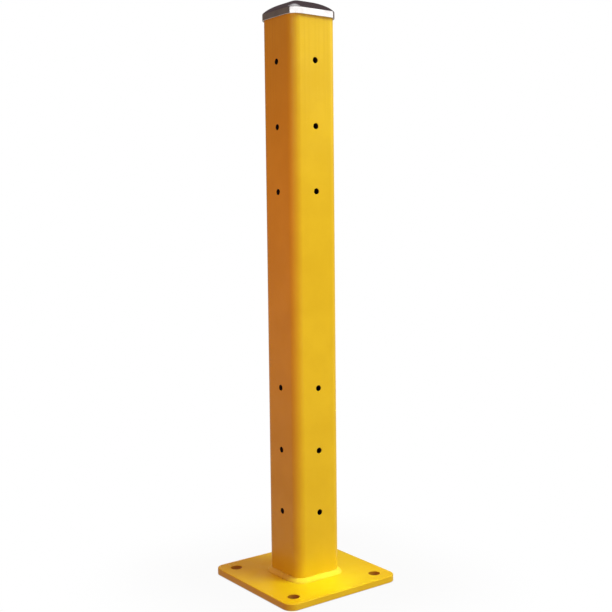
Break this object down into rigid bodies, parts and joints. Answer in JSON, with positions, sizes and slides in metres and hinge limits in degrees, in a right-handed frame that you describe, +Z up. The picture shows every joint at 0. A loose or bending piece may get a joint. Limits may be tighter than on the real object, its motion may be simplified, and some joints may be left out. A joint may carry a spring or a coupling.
{
  "type": "steel safety bollard",
  "caption": "Square steel guard-rail post on a drilled anchor plate, with rail bolt holes on every face and a pressed push-on cap.",
  "frame": {"origin": "centre of the base plate's underside, on the floor", "axes": "+Z up along the post, -Y towards the tube's front face, +X to the right; the faces are alike"},
  "size_m": [0.254, 0.254, 1.0883],
  "materials": {
    "yellow_paint": "semi-gloss powder coat",
    "weld_paint": "semi-gloss powder coat over the weld's ripples",
    "cap_metal": "bright polished"
  },
  "bodies": {
    "post": {"base_plate": "yellow_paint", "post_tube": "yellow_paint", "weld_front": "weld_paint", "weld_right": "weld_paint", "weld_rear": "weld_paint", "weld_left": "weld_paint"},
    "cap": {"post_cap": "cap_metal"}
  },
  "joints": [
    {"name": "cap_lift", "type": "slide", "parent": "post", "child": "cap", "axis": [0, 0, 1], "range_m": [0, 0.06]}
  ]
}
